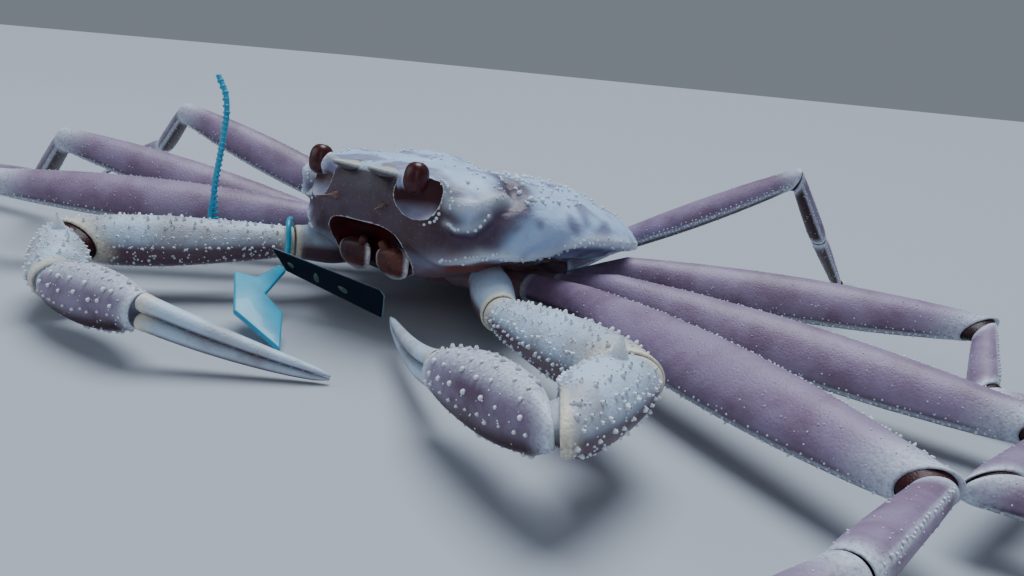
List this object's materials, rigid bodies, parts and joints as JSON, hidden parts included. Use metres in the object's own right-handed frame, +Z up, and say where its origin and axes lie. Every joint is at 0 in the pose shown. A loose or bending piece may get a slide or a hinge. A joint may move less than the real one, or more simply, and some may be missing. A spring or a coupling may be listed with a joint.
{
  "type": "snow crab model",
  "caption": "Life-size still model of a crab with long jointed legs and claws, resting on a flat floor, with a plastic tie tag on one claw arm.",
  "frame": {"origin": "on the floor, under the middle of the model's spread", "axes": "+X to the crab's left, -Y the way it faces, +Z up"},
  "size_m": [0.6176, 0.3944, 0.0776],
  "materials": {
    "carapace_shell": "pale lavender shell, satin",
    "leg_shell": "mauve shell, satin",
    "claw_shell": "cream shell, satin",
    "under_shell": "pinkish shell, satin",
    "eye": "dark wet gloss",
    "tag_plastic": "cyan, moulded",
    "tag_plate": "navy, smooth"
  },
  "bodies": {
    "root": {"carapace": "carapace_shell", "thorax": "under_shell", "abdomen": "under_shell", "left_cornea": "eye", "left_eyestalk": "carapace_shell", "left_antenna": "claw_shell", "left_maxilliped": "under_shell", "left_claw_ischium": "claw_shell", "left_claw_merus": "claw_shell", "left_claw_carpus": "claw_shell", "left_claw_palm": "claw_shell", "left_claw_finger": "claw_shell", "left_claw_dactyl": "claw_shell", "left_leg_5_ischium": "leg_shell", "left_leg_2_merus": "leg_shell", "left_leg_2_carpus": "leg_shell", "left_leg_2_propodus": "leg_shell", "left_leg_2_dactyl": "claw_shell", "left_leg_3_merus": "leg_shell", "left_leg_3_carpus": "leg_shell", "left_leg_3_propodus": "leg_shell", "left_leg_3_dactyl": "claw_shell", "left_leg_4_merus": "leg_shell", "left_leg_4_carpus": "leg_shell", "left_leg_4_propodus": "leg_shell", "left_leg_4_dactyl": "claw_shell", "left_leg_5_merus": "leg_shell", "left_leg_5_carpus": "leg_shell", "left_leg_5_propodus": "leg_shell", "left_leg_5_dactyl": "claw_shell", "right_cornea": "eye", "right_eyestalk": "carapace_shell", "right_antenna": "claw_shell", "right_maxilliped": "under_shell", "right_claw_ischium": "claw_shell", "right_claw_merus": "claw_shell", "right_claw_carpus": "claw_shell", "right_claw_palm": "claw_shell", "right_claw_finger": "claw_shell", "right_claw_dactyl": "claw_shell", "right_leg_5_ischium": "leg_shell", "right_leg_2_merus": "leg_shell", "right_leg_2_carpus": "leg_shell", "right_leg_2_propodus": "leg_shell", "right_leg_2_dactyl": "claw_shell", "right_leg_3_merus": "leg_shell", "right_leg_3_carpus": "leg_shell", "right_leg_3_propodus": "leg_shell", "right_leg_3_dactyl": "claw_shell", "right_leg_4_merus": "leg_shell", "right_leg_4_carpus": "leg_shell", "right_leg_4_propodus": "leg_shell", "right_leg_4_dactyl": "claw_shell", "right_leg_5_merus": "leg_shell", "right_leg_5_carpus": "leg_shell", "right_leg_5_propodus": "leg_shell", "right_leg_5_dactyl": "claw_shell", "tag_tie": "tag_plastic", "tag_head": "tag_plastic", "tag_plate": "tag_plate"}
  },
  "joints": []
}
